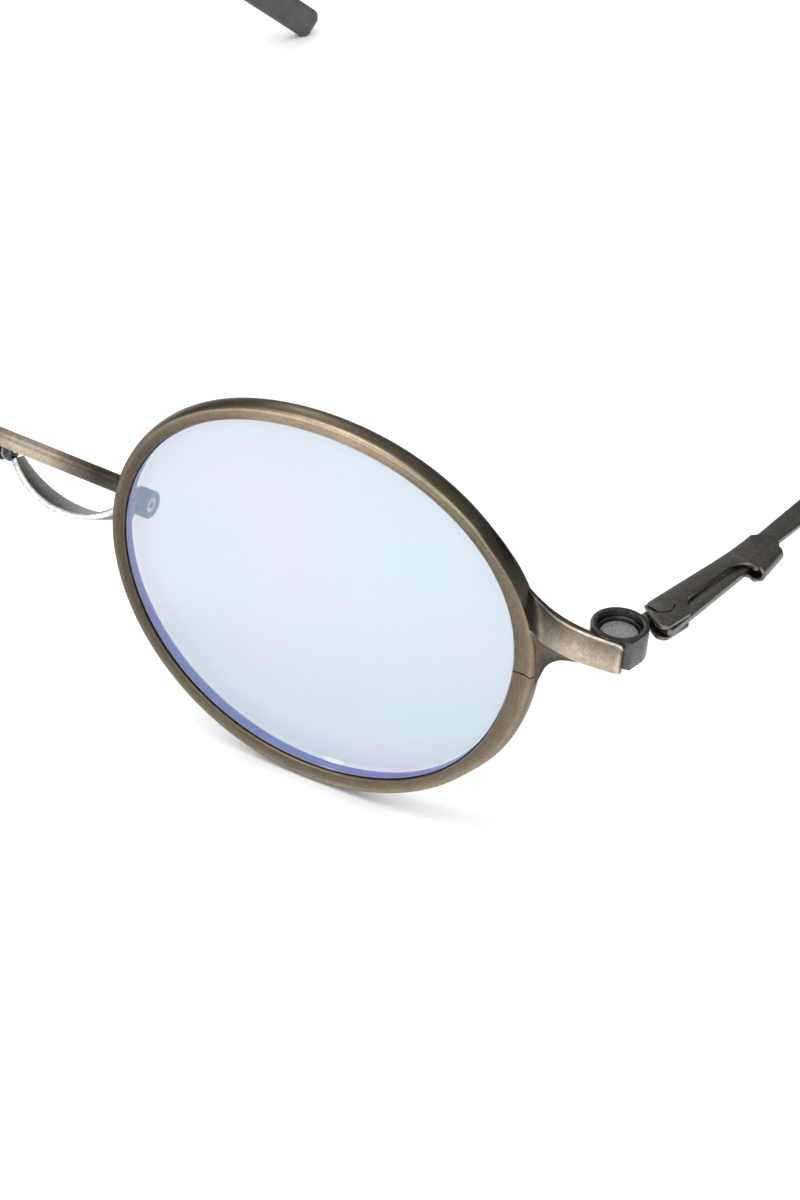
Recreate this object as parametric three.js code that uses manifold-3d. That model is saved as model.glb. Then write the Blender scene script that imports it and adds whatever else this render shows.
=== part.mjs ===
// Round metal glasses with a screwless sheet-metal hinge and a sprung nose saddle.
// Millimetres, +Z up. The glasses stand open on a table: both rims and both temple ends touch Z = 0.
// X runs from the wearer's right to the wearer's left, the lenses face -Y and the temples run to +Y.

import * as THREE from 'three';
import { mergeVertices } from 'three/addons/utils/BufferGeometryUtils.js';
import Module from 'manifold-3d';

const wasm = await Module();
wasm.setup();

// ---- Driving dimensions ----

const LENGTH_CENTRE = 72.75;                // distance from the front plane to the middle of the glasses

const LENS = {
  halfWidth: 22, halfHeight: 20.43,       // of the rim's inner lip
  soften: 0.013, square: 0.005,           // how far the oval is pulled to a rounded triangle and square
  brow: 0.0115, browPhase: 0.5,           // a fuller upper and flatter lower outer side
  centreX: 34, centreZ: 22.1,             // half the distance between the lenses, and their height
  lean: THREE.MathUtils.degToRad(2.66),   // the top leans forward
  wrap: THREE.MathUtils.degToRad(2.55),   // the outer side turns back
  thickness: 1.75, bulge: 1.7, frontY: 0.35, bevel: 0.42, gap: 0.12,
};

const RIM = {
  ridge: 1.2, width: 1.57, depth: 2.3, groove: 0.62, split: 0.12, splitZ: 0.8,
  flare: 0.68, flareReach: 0.7,           // the front face widens towards the end piece
  chin: 0.35,                             // and at the bottom
};

const ARM = { tipX: 32.45, topZ: 7.45, bottomZ: 3.8, thickness: 2.0, sweep: 1.1 };

const BRIDGE = { radius: 0.92, z: 26.85, y: 0.1, halfLength: 10.2 };

const CUP = {
  x: 64.43, y: 5.4, topZ: 29.7, height: 3.2, radius: 2.85, bore: 2.22, floor: 0.6,
  linerWall: 0.22, linerDrop: 0.55, magnetRadius: 1.88, magnetDrop: 0.95,
  sideX: 66.95, innerX: 62.4, frontY: 3.25, seatGap: 0.15,
};

const HINGE = {
  x: 65.73, y: 11.34, topZ: 29.2, flare: THREE.MathUtils.degToRad(11),
  plate: 0.45, cavity: 0.9, base: 0.4, play: 0.08,
  pinRadius: 0.6, eyeRadius: 1.15, neckHalf: 0.62, neckEnd: -3.1,
};

const BAND = {
  width: 2.2, thickness: 0.74, earWidth: 2.9, corner: 0.12,
  front: 2.95, drift: 0.095, twistFrom: 0.05, twistTo: 0.55, end: 0.985,
};

const TIP = { start: 0.71, height: 4.2, thickness: 1.9, wall: 0.1 };

const SADDLE = {
  radius: 9.3, halfAngle: 0.9, thickness: 0.68, width: 4.8, endWidth: 2.5,
  y: 5.3, z: 16, tilt: 0.454, flare: 0.3, eyeX: 7.15, eyeHeight: 4.65, eyeRadius: 1.3,
};

const BARREL = { inner: 8.2, outer: 10.15, radius: 1.5, washer: 0.34, screwHead: 0.8, socket: 0.42 };

const OUTLINE_STEPS = 64;
const ROUND_STEPS = 24;
const BAND_STEPS = 34;
const TIP_STEPS = 12;

// ---- Materials ----

const finish = (color, roughness, metalness) => (
  new THREE.MeshStandardMaterial({ color, roughness, metalness })
);

const pewter = finish(0x8a7e6a, 0.38, 1);
const gunmetal = finish(0x4b4844, 0.42, 1);
const brightSteel = finish(0xb9b6b0, 0.35, 1);
const magnetSteel = finish(0xa3a3a3, 0.55, 0.9);
const blackTip = finish(0x4a4747, 0.6, 0);
const tintedLens = new THREE.MeshStandardMaterial({
  color: 0xdce8f4, roughness: 0.04, metalness: 0, transparent: true, opacity: 0.35,
});

// ---- Solids and lofts ----

function toSolid(geometry) {
  const bare = geometry.clone();
  bare.deleteAttribute('normal');
  bare.deleteAttribute('uv');
  const merged = mergeVertices(bare, 1e-4);
  return new wasm.Manifold(new wasm.Mesh({
    numProp: 3,
    vertProperties: new Float32Array(merged.attributes.position.array),
    triVerts: new Uint32Array(merged.index.array),
  }));
}

function toGeometry(solid) {
  const mesh = solid.getMesh();
  const geometry = new THREE.BufferGeometry();
  geometry.setAttribute('position', new THREE.BufferAttribute(new Float32Array(mesh.vertProperties), 3));
  geometry.setIndex(new THREE.BufferAttribute(new Uint32Array(mesh.triVerts), 1));
  geometry.computeVertexNormals();
  return geometry;
}

// A closed skin over rings of equal size. An open loft gets a fan at each end.
function loft(rings, closed = false) {
  const size = rings[0].length;
  const points = rings.flat();
  const faces = [];
  const spans = closed ? rings.length : rings.length - 1;
  for (let r = 0; r < spans; r += 1) {
    const next = (r + 1) % rings.length;
    for (let i = 0; i < size; i += 1) {
      const j = (i + 1) % size;
      faces.push(r * size + i, r * size + j, next * size + j);
      faces.push(r * size + i, next * size + j, next * size + i);
    }
  }
  if (!closed) {
    addFan(points, faces, 0, size, true);
    addFan(points, faces, (rings.length - 1) * size, size, false);
  }
  const geometry = new THREE.BufferGeometry();
  const places = points.flatMap((p) => [p.x, p.y, p.z]);
  geometry.setAttribute('position', new THREE.Float32BufferAttribute(places, 3));
  geometry.setIndex(faces);
  return facingOut(geometry);
}

function addFan(points, faces, first, size, reversed) {
  const centre = new THREE.Vector3();
  for (let i = 0; i < size; i += 1) centre.add(points[first + i]);
  const hub = points.push(centre.divideScalar(size)) - 1;
  for (let i = 0; i < size; i += 1) {
    const j = (i + 1) % size;
    if (reversed) faces.push(hub, first + j, first + i);
    else faces.push(hub, first + i, first + j);
  }
}

// Turns a closed skin the right way out, from the sign of its volume.
function facingOut(geometry) {
  const position = geometry.attributes.position;
  const index = geometry.index;
  const [a, b, c] = [new THREE.Vector3(), new THREE.Vector3(), new THREE.Vector3()];
  let volume = 0;
  for (let i = 0; i < index.count; i += 3) {
    a.fromBufferAttribute(position, index.getX(i));
    b.fromBufferAttribute(position, index.getX(i + 1));
    c.fromBufferAttribute(position, index.getX(i + 2));
    volume += a.dot(b.cross(c));
  }
  if (volume < 0) {
    for (let i = 0; i < index.count; i += 3) {
      const first = index.getX(i);
      index.setX(i, index.getX(i + 1));
      index.setX(i + 1, first);
    }
  }
  geometry.computeVertexNormals();
  return geometry;
}

// A cylinder between two points.
function rod(start, end, radius, steps = ROUND_STEPS) {
  const axis = end.clone().sub(start);
  const geometry = new THREE.CylinderGeometry(radius, radius, axis.length(), steps);
  const turn = new THREE.Quaternion();
  turn.setFromUnitVectors(new THREE.Vector3(0, 1, 0), axis.clone().normalize());
  geometry.applyQuaternion(turn);
  geometry.translate((start.x + end.x) / 2, (start.y + end.y) / 2, (start.z + end.z) / 2);
  return geometry;
}

function box(low, high) {
  const size = new THREE.Vector3().subVectors(high, low);
  const geometry = new THREE.BoxGeometry(size.x, size.y, size.z);
  geometry.translate((low.x + high.x) / 2, (low.y + high.y) / 2, (low.z + high.z) / 2);
  return geometry;
}

const vec = (x, y, z) => new THREE.Vector3(x, y, z);

function piece(name, geometry, material) {
  const mesh = new THREE.Mesh(geometry, material);
  mesh.name = name;
  return mesh;
}

// ---- Lens outline, in the lens's own plane ----

function outlinePoint(angle) {
  const across = Math.cos(angle) / LENS.halfWidth;
  const upward = Math.sin(angle) / LENS.halfHeight;
  const outer = Math.max(0, Math.cos(angle)) ** 2;
  const pull = 1 + LENS.soften * Math.sin(3 * angle) - LENS.square * Math.cos(4 * angle)
    + LENS.brow * outer * Math.sin(4 * angle - LENS.browPhase);
  const radius = pull / Math.hypot(across, upward);
  return new THREE.Vector2(radius * Math.cos(angle), radius * Math.sin(angle));
}

// A point that lies outside the outline by the offset, at a depth behind the rim's front plane.
function offsetPoint(angle, offset, depth) {
  const step = 1e-3;
  const along = outlinePoint(angle + step).sub(outlinePoint(angle - step)).normalize();
  const point = outlinePoint(angle);
  return vec(point.x + along.y * offset, depth, point.y - along.x * offset);
}

function outlineRing(offset, depth) {
  const ring = [];
  for (let i = 0; i < OUTLINE_STEPS; i += 1) {
    ring.push(offsetPoint((i / OUTLINE_STEPS) * 2 * Math.PI, offset, depth));
  }
  return ring;
}

// ---- Rim with its end piece ----

function rimFlare(angle) {
  const away = Math.atan2(Math.sin(angle), Math.cos(angle)) / RIM.flareReach;
  const beside = Math.abs(away) < 1 ? RIM.flare * (1 - away ** 4) ** 2 : 0;
  return beside + RIM.chin * Math.max(0, -Math.sin(angle)) ** 6;
}

// Each entry is how far the section's corner lies outside the inner lip, and how deep.
function rimSection(angle) {
  const { depth, groove } = RIM;
  const ridge = RIM.ridge + rimFlare(angle);
  const width = RIM.width + rimFlare(angle);
  return [
    [0, 0.12], [0.12, 0], [ridge, 0], [width - 0.14, 0.3], [width, 0.85], [width, depth - 0.75],
    [width - 0.2, depth], [0, depth], [0, depth - 0.55], [groove, depth / 2 + 0.1], [0, 0.6],
  ];
}

function rimRing() {
  const rings = [];
  for (let i = 0; i < OUTLINE_STEPS; i += 1) {
    const angle = (i / OUTLINE_STEPS) * 2 * Math.PI;
    rings.push(rimSection(angle).map(([offset, depth]) => offsetPoint(angle, offset, depth)));
  }
  return loft(rings, true);
}

// The end piece leaves the rim as a horn and sweeps back to the hinge.
function endPiece() {
  const seat = (angle) => offsetPoint(angle, RIM.ridge + rimFlare(angle) - 0.1, 0);
  const upper = 0.6;
  const lower = -0.04;
  const outline = new THREE.Shape();
  outline.moveTo(seat(upper).x, seat(upper).z);
  outline.bezierCurveTo(21.9, 10.6, 24.2, ARM.topZ + 0.35, 28.6, ARM.topZ + 0.05);
  outline.lineTo(ARM.tipX, ARM.topZ);
  outline.quadraticCurveTo(ARM.tipX + 0.1, ARM.bottomZ + 1.2, ARM.tipX - 0.5, ARM.bottomZ);
  outline.quadraticCurveTo(29, ARM.bottomZ + 0.55, 26.8, ARM.bottomZ + 0.3);
  outline.bezierCurveTo(24.9, ARM.bottomZ, 24.2, 1.6, seat(lower).x, seat(lower).z);
  for (let i = 1; i < 12; i += 1) {
    const point = seat(lower + ((upper - lower) * i) / 12);
    outline.lineTo(point.x, point.z);
  }
  const geometry = slab(outline, 0, ARM.thickness, 9);
  geometry.rotateX(Math.PI / 2);
  geometry.translate(0, ARM.thickness, 0);
  return sweptBack(geometry);
}

function sweptBack(geometry) {
  const position = geometry.attributes.position;
  for (let i = 0; i < position.count; i += 1) {
    const reach = Math.max(0, (position.getX(i) - 22) / (ARM.tipX - 22));
    position.setY(i, position.getY(i) + ARM.sweep * reach ** 1.5 + 0.1);
  }
  return geometry;
}

// The rim is cut through below the end piece, and hollowed where the magnet cup is let into it.
function rimGeometry(intoPlane) {
  const slit = box(vec(18, -5, RIM.splitZ - RIM.split / 2), vec(24.6, 8, RIM.splitZ + RIM.split / 2));
  const seat = toGeometry(cupBody(CUP.seatGap)).applyMatrix4(intoPlane);
  const whole = toSolid(rimRing()).add(toSolid(endPiece()));
  return toGeometry(whole.subtract(toSolid(slit)).subtract(toSolid(seat)));
}

// ---- Lens ----

function lensGeometry() {
  const edge = LENS.gap;
  const sag = (share) => LENS.bulge * (1 - share * share);
  const face = (share, depth) => (
    outlineRing(0, depth - sag(share)).map((p) => vec(p.x * share, p.y, p.z * share))
  );
  const back = LENS.frontY + LENS.thickness;
  return loft([
    face(0.5, LENS.frontY), outlineRing(-edge, LENS.frontY), outlineRing(-edge, 0.75),
    outlineRing(LENS.bevel, RIM.depth / 2 + 0.1), outlineRing(-edge, RIM.depth - 0.7),
    outlineRing(-edge, back), face(0.5, back),
  ]);
}

// ---- Closing blocks and their screw, behind the split in the rim ----

const CLOSER = {
  low: 21.9, high: 23.0, front: RIM.depth + 0.06, back: RIM.depth + 1.5, height: 1.55, shankRadius: 0.3,
};

function closingBlock(bottom) {
  const top = bottom + CLOSER.height;
  const block = box(vec(CLOSER.low, CLOSER.front, bottom), vec(CLOSER.high, CLOSER.back, top));
  const hole = closerRod(CLOSER.shankRadius + 0.06, bottom - 1, top + 1);
  return toGeometry(toSolid(block).subtract(toSolid(hole)));
}

function closerRod(radius, from, to) {
  const x = (CLOSER.low + CLOSER.high) / 2;
  const y = (CLOSER.front + CLOSER.back) / 2;
  return rod(vec(x, y, from), vec(x, y, to), radius, 16);
}

function closingScrew() {
  const bottom = RIM.splitZ - RIM.split / 2 - CLOSER.height - 0.06;
  const shank = toSolid(closerRod(CLOSER.shankRadius, bottom - 0.1, RIM.splitZ + CLOSER.height - 0.2));
  const head = toSolid(closerRod(0.55, bottom - 0.4, bottom));
  const middle = (CLOSER.low + CLOSER.high) / 2;
  const slot = box(vec(middle - 0.08, 0, bottom - 0.6), vec(middle + 0.08, 9, bottom - 0.28));
  return toGeometry(shank.add(head).subtract(toSolid(slot)));
}

function frontAssembly(side) {
  const plane = new THREE.Group();
  plane.position.set(LENS.centreX, 0, LENS.centreZ);
  plane.rotation.set(LENS.lean, 0, LENS.wrap, 'ZXY');
  plane.updateMatrix();
  const intoPlane = plane.matrix.clone().invert();
  const half = RIM.split / 2;
  plane.add(
    piece(`${side}_rim`, rimGeometry(intoPlane), pewter),
    piece(`${side}_lens`, lensGeometry(), tintedLens),
    piece(`${side}_closing_block_upper`, closingBlock(RIM.splitZ + half), pewter),
    piece(`${side}_closing_block_lower`, closingBlock(RIM.splitZ - half - CLOSER.height), pewter),
    piece(`${side}_closing_screw`, closingScrew(), brightSteel),
  );
  return plane;
}

// ---- Magnet cup behind the end piece ----

function cupBody(grow) {
  const bottom = CUP.topZ - CUP.height - grow;
  const top = CUP.topZ + grow;
  const round = toSolid(rod(vec(CUP.x, CUP.y, bottom), vec(CUP.x, CUP.y, top), CUP.radius + grow));
  const block = box(vec(CUP.innerX - grow, CUP.frontY - grow, bottom), vec(CUP.sideX + grow, CUP.y, top));
  return round.add(toSolid(block));
}

function cupHousing() {
  const floor = CUP.topZ - CUP.height + CUP.floor;
  const bore = rod(vec(CUP.x, CUP.y, floor), vec(CUP.x, CUP.y, CUP.topZ + 1), CUP.bore);
  return toGeometry(cupBody(0).subtract(toSolid(bore)));
}

function cupLiner() {
  const bottom = CUP.topZ - CUP.height + CUP.floor + 0.05;
  const outer = CUP.bore - 0.05;
  const inner = outer - CUP.linerWall;
  const top = CUP.topZ - CUP.linerDrop;
  const profile = [[inner, bottom], [outer, bottom], [outer, top], [inner, top], [inner, bottom]];
  const geometry = new THREE.LatheGeometry(profile.map(([r, z]) => new THREE.Vector2(r, z)), ROUND_STEPS);
  geometry.rotateX(Math.PI / 2);
  geometry.translate(CUP.x, CUP.y, 0);
  return toGeometry(toSolid(facingOut(mergeVertices(stripped(geometry), 1e-4))));
}

function stripped(geometry) {
  geometry.deleteAttribute('normal');
  geometry.deleteAttribute('uv');
  return geometry;
}

function cupMagnet() {
  const bottom = CUP.topZ - CUP.height + CUP.floor + 0.05;
  return rod(vec(CUP.x, CUP.y, bottom), vec(CUP.x, CUP.y, CUP.topZ - CUP.magnetDrop), CUP.magnetRadius);
}

// ---- Hinge, drawn in a frame turned out by the temple's flare, with the pin at its origin ----

function slab(outline, bottom, top, steps = 5) {
  const settings = { depth: top - bottom, bevelEnabled: false, curveSegments: steps };
  const geometry = new THREE.ExtrudeGeometry(outline, settings);
  geometry.translate(0, 0, bottom);
  return geometry;
}

// The spring plate: a round lobe over the pin, a wide nose, a narrow strip and the folded sleeve.
function clipOutline() {
  const outline = new THREE.Shape();
  outline.moveTo(-0.3, -1.6);
  outline.quadraticCurveTo(-1.0, -1.3, -1.02, -0.3);
  outline.lineTo(-0.95, 10);
  outline.quadraticCurveTo(-1.0, 14, -1.3, 16.2);
  outline.lineTo(0.5, 17.8);
  outline.quadraticCurveTo(2.1, 17.7, 2.5, 16.6);
  outline.lineTo(3.5, 12.4);
  outline.quadraticCurveTo(3.5, 11.9, 2.9, 11.9);
  outline.lineTo(1.85, 12.1);
  outline.quadraticCurveTo(0.75, 11.8, 0.65, 10);
  outline.lineTo(0.95, 4.2);
  outline.quadraticCurveTo(1.0, 2.9, 1.6, 2.2);
  outline.lineTo(2.9, 1.15);
  outline.lineTo(2.9, -2.3);
  outline.quadraticCurveTo(2.6, -2.85, 1.8, -2.8);
  outline.lineTo(0.35, -2.1);
  return outline;
}

// The slot that frees the lobe from the nose, as a curved blade.
function lobeSlot() {
  const blade = new THREE.Shape();
  const from = THREE.MathUtils.degToRad(-130);
  const to = THREE.MathUtils.degToRad(42);
  blade.absarc(0, 0, 1.5, from, to, false);
  blade.absarc(0, 0, 1.22, to, from, true);
  return slab(blade, -1, 1, 16);
}

function clipGeometry() {
  const top = HINGE.topZ;
  const under = top - HINGE.plate - HINGE.cavity;
  const upper = toSolid(slab(clipOutline(), top - HINGE.plate, top));
  const lower = toSolid(slab(clipOutline(), under - HINGE.base, under));
  const pinHole = toSolid(pinRod(HINGE.pinRadius + 0.07, -9, 9));
  const wall = new THREE.Shape();
  wall.moveTo(3.5, 12.4);
  wall.lineTo(2.5, 16.6);
  wall.lineTo(2.05, 16.6);
  wall.lineTo(3.1, 12.2);
  const fold = toSolid(slab(wall, under - 0.1, top - HINGE.plate + 0.1));
  const slotted = upper.subtract(toSolid(lobeSlot().translate(0, 0, top)));
  return toGeometry(slotted.add(lower.subtract(pinHole)).add(fold));
}

function pinRod(radius, from, to) {
  return rod(vec(0, 0, HINGE.topZ + from), vec(0, 0, HINGE.topZ + to), radius, 20);
}

function pinGeometry() {
  const underside = -HINGE.plate - HINGE.cavity - HINGE.base;
  const shank = toSolid(pinRod(HINGE.pinRadius, underside - 0.2, -HINGE.plate - HINGE.play));
  return toGeometry(shank.add(toSolid(pinRod(0.95, underside - 0.3, underside - HINGE.play))));
}

// The tongue comes out of the cup between the plates, and its eye turns on the pin.
function tongueGeometry() {
  const top = HINGE.topZ - HINGE.plate - HINGE.play;
  const bottom = HINGE.topZ - HINGE.plate - HINGE.cavity + HINGE.play;
  const eye = toSolid(pinRod(HINGE.eyeRadius, bottom - HINGE.topZ, top - HINGE.topZ));
  const neck = toSolid(box(vec(-HINGE.neckHalf, HINGE.neckEnd, bottom), vec(HINGE.neckHalf, 0, top)));
  return toGeometry(eye.add(neck).subtract(toSolid(pinRod(HINGE.pinRadius + 0.08, -9, 9))));
}

// ---- Temple ----

// The middle line of the left temple, from the sleeve to the end behind the ear.
const templePath = new THREE.CatmullRomCurve3([
  vec(68.26, 23.03, 28.3), vec(68.85, 29.03, 28.3), vec(70.1, 45, 28.1), vec(70.6, 64, 27.7),
  vec(69.7, 86, 27.2), vec(67.4, 104, 26.2), vec(65.6, 113.5, 24.6), vec(62.7, 124.5, 18.6),
  vec(58.9, 136, 9.1), vec(55.2, 146.5, 0.45),
], false, 'centripetal');

// The strip lies flat at the hinge and turns until it stands on edge beside the head.
function twistAt(share) {
  const turned = THREE.MathUtils.clamp((share - BAND.twistFrom) / (BAND.twistTo - BAND.twistFrom), 0, 1);
  return (Math.PI / 2) * Math.sin((Math.PI / 2) * turned);
}

function stripRing(share, width, thickness, corner) {
  const centre = templePath.getPointAt(share);
  const ahead = templePath.getTangentAt(share);
  const level = vec(0, 0, 1).cross(ahead).normalize();
  const upward = ahead.clone().cross(level);
  const turn = twistAt(share);
  const wide = level.clone().multiplyScalar(-Math.cos(turn)).addScaledVector(upward, -Math.sin(turn));
  const thin = ahead.clone().cross(wide);
  return roundedBox(width, thickness, corner).map(([w, t]) => (
    centre.clone().addScaledVector(wide, w).addScaledVector(thin, t)
  ));
}

function roundedBox(width, thickness, corner) {
  const w = width / 2;
  const t = thickness / 2;
  return [
    [w, t - corner], [w - corner, t], [corner - w, t], [-w, t - corner],
    [-w, corner - t], [corner - w, -t], [w - corner, -t], [w, corner - t],
  ];
}

function bandLoft(from, to, grow) {
  const rings = [];
  for (let i = 0; i <= BAND_STEPS; i += 1) {
    const share = from + ((to - from) * i) / BAND_STEPS;
    const width = THREE.MathUtils.lerp(BAND.width, BAND.earWidth, share) + grow;
    rings.push(stripRing(share, width, BAND.thickness + grow, BAND.corner));
  }
  return loft(rings);
}

// The front of the strip is a narrow prong beside the pin, between the plates.
function prongGeometry() {
  const edge = (y) => BAND.front - BAND.drift * y;
  const prong = new THREE.Shape();
  prong.moveTo(edge(-2) - 0.35, -2.2);
  prong.lineTo(edge(-2), -1.8);
  prong.lineTo(edge(13), 13);
  prong.lineTo(edge(13) - 1.4, 13);
  prong.lineTo(edge(10.5) - 1.35, 10.5);
  prong.lineTo(1.32, 4);
  prong.lineTo(1.45, -1.6);
  prong.lineTo(1.75, -2.2);
  const middle = HINGE.topZ - HINGE.plate - HINGE.cavity / 2;
  return slab(prong, middle - BAND.thickness / 2, middle + BAND.thickness / 2);
}

function bandGeometry() {
  const prong = prongGeometry();
  prong.rotateZ(-HINGE.flare);
  prong.translate(HINGE.x, HINGE.y, 0);
  return toGeometry(toSolid(bandLoft(0, BAND.end, 0)).add(toSolid(prong)));
}

function tipGeometry() {
  const rings = [];
  for (let i = 0; i <= TIP_STEPS; i += 1) {
    const share = TIP.start + ((1 - TIP.start) * i) / TIP_STEPS;
    const rise = Math.min(1, 0.62 + (3.2 * i) / TIP_STEPS);
    const end = Math.sqrt(Math.max(0.2, 1 - Math.max(0, i - TIP_STEPS + 1) ** 2));
    rings.push(stripRing(share, TIP.height * rise * end, TIP.thickness * rise * end, 0.3 * end));
  }
  const hollow = bandLoft(TIP.start - 0.02, BAND.end + 0.002, 2 * TIP.wall);
  return toGeometry(toSolid(loft(rings)).subtract(toSolid(hollow)));
}

function templeAssembly(side) {
  const temple = new THREE.Group();
  const hinge = hingeFrame();
  hinge.add(
    piece(`${side}_hinge_clip`, clipGeometry(), gunmetal),
    piece(`${side}_hinge_pin`, pinGeometry(), gunmetal),
  );
  temple.add(
    hinge,
    piece(`${side}_temple_band`, bandGeometry(), gunmetal),
    piece(`${side}_temple_tip`, tipGeometry(), blackTip),
  );
  return temple;
}

function hingeFrame() {
  const frame = new THREE.Group();
  frame.position.set(HINGE.x, HINGE.y, 0);
  frame.rotation.z = -HINGE.flare;
  return frame;
}

// ---- Nose saddle: one sprung strip between two barrels behind the rims ----

// A point on the saddle's middle layer: along the arc, and back across its width.
function saddlePoint(angle, across, lift) {
  const radius = SADDLE.radius - lift;
  const x = radius * Math.sin(angle) * (1 + SADDLE.flare * across * 0.1);
  const rise = SADDLE.radius - radius * Math.cos(angle);
  return vec(x, SADDLE.y, SADDLE.z)
    .addScaledVector(vec(0, Math.sin(SADDLE.tilt), Math.cos(SADDLE.tilt)), rise)
    .addScaledVector(vec(0, Math.cos(SADDLE.tilt), -Math.sin(SADDLE.tilt)), across);
}

function saddleGeometry() {
  const rings = [];
  const steps = 24;
  for (let i = 0; i <= steps; i += 1) {
    const angle = SADDLE.halfAngle * ((2 * i) / steps - 1);
    const share = Math.abs(angle) / SADDLE.halfAngle;
    const width = THREE.MathUtils.lerp(SADDLE.width, SADDLE.endWidth, share ** 2);
    rings.push([
      saddlePoint(angle, 0, 0), saddlePoint(angle, width, 0),
      saddlePoint(angle, width, SADDLE.thickness), saddlePoint(angle, 0, SADDLE.thickness),
    ]);
  }
  return toGeometry(toSolid(loft(rings)).add(saddleEye(1)).add(saddleEye(-1)));
}

function saddleEye(sign) {
  const { y, z } = barrelAxis();
  const along = (from, to, radius, steps) => (
    rod(vec(sign * from, y, z), vec(sign * to, y, z), radius, steps)
  );
  const eye = toSolid(along(SADDLE.eyeX, BARREL.inner - BARREL.washer - 0.12, SADDLE.eyeRadius, 20));
  return eye.subtract(toSolid(along(4, 12, 0.5, 12)));
}

function barrelAxis() {
  const point = vec(0, SADDLE.y, SADDLE.z);
  return point.addScaledVector(vec(0, Math.sin(SADDLE.tilt), Math.cos(SADDLE.tilt)), SADDLE.eyeHeight);
}

function barrelAssembly(side) {
  const { y, z } = barrelAxis();
  const along = (from, to, radius, steps) => rod(vec(from, y, z), vec(to, y, z), radius, steps);
  const head = BARREL.outer - BARREL.screwHead;
  const barrel = toSolid(along(BARREL.inner, BARREL.outer, BARREL.radius, 24))
    .subtract(toSolid(along(BARREL.inner - 1, BARREL.outer + 1, 0.45, 12)))
    .subtract(toSolid(along(head - 0.1, BARREL.outer + 1, 0.9, 16)));
  const washer = toSolid(along(BARREL.inner - BARREL.washer, BARREL.inner - 0.05, 1.2, 20))
    .subtract(toSolid(along(BARREL.inner - 2, BARREL.inner + 2, 0.48, 12)));
  const screw = toSolid(along(SADDLE.eyeX - 0.1, head + 0.2, 0.38, 12))
    .add(toSolid(along(head, BARREL.outer - 0.15, 0.8, 16)))
    .subtract(toSolid(along(BARREL.outer - 0.6, BARREL.outer + 1, BARREL.socket, 6)));
  const post = rod(vec(10.6, 1.5, z), vec(8.65, y - BARREL.radius - 0.3, z), 0.42, 12);
  const parts = new THREE.Group();
  parts.add(
    piece(`${side}_saddle_barrel`, toGeometry(barrel), gunmetal),
    piece(`${side}_saddle_washer`, toGeometry(washer), brightSteel),
    piece(`${side}_saddle_screw`, toGeometry(screw), brightSteel),
    piece(`${side}_saddle_post`, post, pewter),
  );
  return parts;
}

// ---- Bridge ----

function bridgeGeometry() {
  const { halfLength, y, z, radius } = BRIDGE;
  return rod(vec(-halfLength, y, z), vec(halfLength, y, z), radius, 20);
}

// ---- Assembly ----

function sideAssembly(side) {
  const half = new THREE.Group();
  half.add(frontAssembly(side), templeAssembly(side), barrelAssembly(side));
  half.add(
    piece(`${side}_magnet_cup`, cupHousing(), gunmetal),
    piece(`${side}_cup_liner`, cupLiner(), gunmetal),
    piece(`${side}_cup_magnet`, cupMagnet(), magnetSteel),
  );
  const hinge = hingeFrame();
  hinge.add(piece(`${side}_hinge_tongue`, tongueGeometry(), gunmetal));
  half.add(hinge);
  return half;
}

const glasses = new THREE.Group();
const left = sideAssembly('left');
const right = sideAssembly('right');
right.scale.x = -1;
glasses.add(
  left,
  right,
  piece('bridge_bar', bridgeGeometry(), pewter),
  piece('nose_saddle', saddleGeometry(), brightSteel),
);
glasses.position.set(0, -LENGTH_CENTRE, RIM.chin);

export default glasses;
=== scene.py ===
"""Round metal glasses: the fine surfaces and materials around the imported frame, a studio and a camera.

Lengths are millimetres in the glasses' own axes (X to the wearer's left, Y back from the rims' front,
Z up) until place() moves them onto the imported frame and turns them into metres.
"""
import math

import bmesh
import bpy
from mathutils import Matrix, Vector


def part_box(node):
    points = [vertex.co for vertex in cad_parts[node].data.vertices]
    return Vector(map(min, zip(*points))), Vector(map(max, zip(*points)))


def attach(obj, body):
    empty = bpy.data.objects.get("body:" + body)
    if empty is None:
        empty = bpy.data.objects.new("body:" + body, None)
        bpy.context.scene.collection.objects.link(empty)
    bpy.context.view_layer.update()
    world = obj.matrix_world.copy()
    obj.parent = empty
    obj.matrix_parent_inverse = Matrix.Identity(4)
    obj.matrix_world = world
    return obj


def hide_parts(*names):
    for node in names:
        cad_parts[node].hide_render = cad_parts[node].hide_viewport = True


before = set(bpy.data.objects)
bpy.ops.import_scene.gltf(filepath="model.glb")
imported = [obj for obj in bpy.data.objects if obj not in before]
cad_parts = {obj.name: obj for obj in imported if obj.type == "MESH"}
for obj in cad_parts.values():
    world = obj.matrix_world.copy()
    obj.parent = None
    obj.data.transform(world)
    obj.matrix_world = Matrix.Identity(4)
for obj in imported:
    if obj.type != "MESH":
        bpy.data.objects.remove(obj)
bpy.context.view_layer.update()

MM = 0.001
SIDES = {"left": 1, "right": -1}

# ---- Driving dimensions ----

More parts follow.
